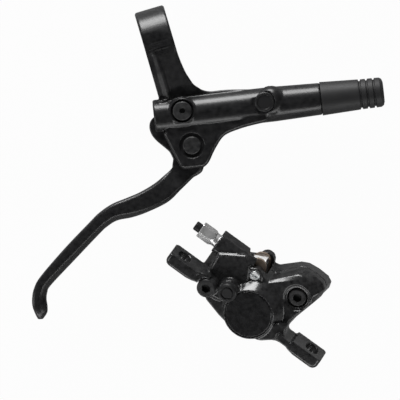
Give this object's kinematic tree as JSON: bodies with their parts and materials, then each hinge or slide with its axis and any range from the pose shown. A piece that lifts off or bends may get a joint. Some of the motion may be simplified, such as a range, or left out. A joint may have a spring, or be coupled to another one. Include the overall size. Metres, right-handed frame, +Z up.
{
  "type": "hydraulic disc brake",
  "caption": "Hydraulic disc brake set: hand lever with master cylinder on a bar clamp, and a post-mount caliper with opposed pistons, lying side by side.",
  "frame": {"origin": "centre of the handlebar bore in the lever clamp, halfway along it", "axes": "+X along the handlebar bore towards the hose end, +Z up off the surface that the set lies on, +Y away from the lever blade"},
  "size_m": [0.1898, 0.1855, 0.04],
  "materials": {
    "body_black": "satin",
    "lever_black": "satin",
    "caliper_black": "gloss",
    "boot_rubber": "matte",
    "black_steel": "satin",
    "bright_steel": "satin",
    "zinc_steel": "polished",
    "pad_plate_steel": "satin",
    "friction_lining": "matte",
    "brass": "satin",
    "black_plastic": "matte",
    "seal_rubber": "matte",
    "anodised_aluminium": "satin",
    "piston_resin": "matte"
  },
  "bodies": {
    "brake_set": {"bleed_nipple": "bright_steel", "bleed_nipple_cap": "black_plastic", "bleed_screw": "black_steel", "bleed_screw_washer": "seal_rubber", "body_bolt_left": "black_steel", "body_bolt_right": "black_steel", "bore_cap": "caliper_black", "bore_cap_seal": "seal_rubber", "clamp_bolt": "black_steel", "hose_boot": "boot_rubber", "hose_connecting_bolt": "bright_steel", "hose_port_plug": "black_plastic", "inboard_caliper_half": "caliper_black", "inboard_piston_seal": "seal_rubber", "lever_connecting_bolt": "bright_steel", "lever_pivot_pin": "black_steel", "master_cylinder_body": "body_black", "outboard_caliper_half": "caliper_black", "outboard_piston_seal": "seal_rubber", "pad_axle": "zinc_steel", "pad_axle_clip": "bright_steel", "pad_spring": "bright_steel", "passage_o_ring": "seal_rubber", "piston_retaining_ring": "bright_steel", "piston_return_spring": "bright_steel", "reservoir_bladder": "seal_rubber", "reservoir_cap": "black_plastic"},
    "lever": {"lever_blade": "lever_black", "pivot_bush_upper": "brass", "pivot_bush_lower": "brass"},
    "push_rod_body": {"push_rod": "bright_steel", "barrel_nut": "bright_steel"},
    "master_piston_body": {"master_piston": "anodised_aluminium", "primary_cup_seal": "seal_rubber", "secondary_cup_seal": "seal_rubber"},
    "outboard_piston_body": {"outboard_piston": "piston_resin"},
    "inboard_piston_body": {"inboard_piston": "piston_resin"},
    "outboard_pad": {"outboard_pad_plate": "pad_plate_steel", "outboard_pad_lining": "friction_lining"},
    "inboard_pad": {"inboard_pad_plate": "pad_plate_steel", "inboard_pad_lining": "friction_lining"}
  },
  "joints": [
    {"name": "lever_pivot", "type": "hinge", "parent": "brake_set", "child": "lever", "pos_m": [0.00124, -0.05234, 0.002], "axis": [0, 0, -1], "range_deg": [0, 22], "stiffness_Nm_per_rad": 0.6, "springref_deg": -17.19},
    {"name": "push_rod_joint", "type": "hinge", "parent": "lever", "child": "push_rod_body", "pos_m": [-0.01053, -0.03744, 0.002], "axis": [0, 0, -1], "range_deg": [-4, 0]},
    {"name": "master_piston_slide", "type": "slide", "parent": "brake_set", "child": "master_piston_body", "axis": [0.9845, -0.1754, 0], "range_m": [0, 0.0059], "deforming": ["piston_return_spring"]},
    {"name": "outboard_piston_slide", "type": "slide", "parent": "brake_set", "child": "outboard_piston_body", "axis": [0.2966, 0.2288, -0.9272], "range_m": [0, 0.000543]},
    {"name": "inboard_piston_slide", "type": "slide", "parent": "brake_set", "child": "inboard_piston_body", "axis": [-0.2966, -0.2288, 0.9272], "range_m": [0, 0.000543]},
    {"name": "outboard_pad_slide", "type": "slide", "parent": "brake_set", "child": "outboard_pad", "axis": [0.2966, 0.2288, -0.9272], "range_m": [0, 0.000543], "deforming": ["pad_spring"]},
    {"name": "inboard_pad_slide", "type": "slide", "parent": "brake_set", "child": "inboard_pad", "axis": [-0.2966, -0.2288, 0.9272], "range_m": [0, 0.000543]}
  ],
  "couplings": [
    {"joint": "push_rod_joint", "follows": "lever_pivot", "ratio": -0.17737},
    {"joint": "master_piston_slide", "follows": "lever_pivot", "m_per_rad": 0.015317},
    {"joint": "outboard_piston_slide", "follows": "lever_pivot", "m_per_rad": 0.0014066},
    {"joint": "inboard_piston_slide", "follows": "lever_pivot", "m_per_rad": 0.0014066},
    {"joint": "outboard_pad_slide", "follows": "lever_pivot", "m_per_rad": 0.0014066},
    {"joint": "inboard_pad_slide", "follows": "lever_pivot", "m_per_rad": 0.0014066}
  ]
}
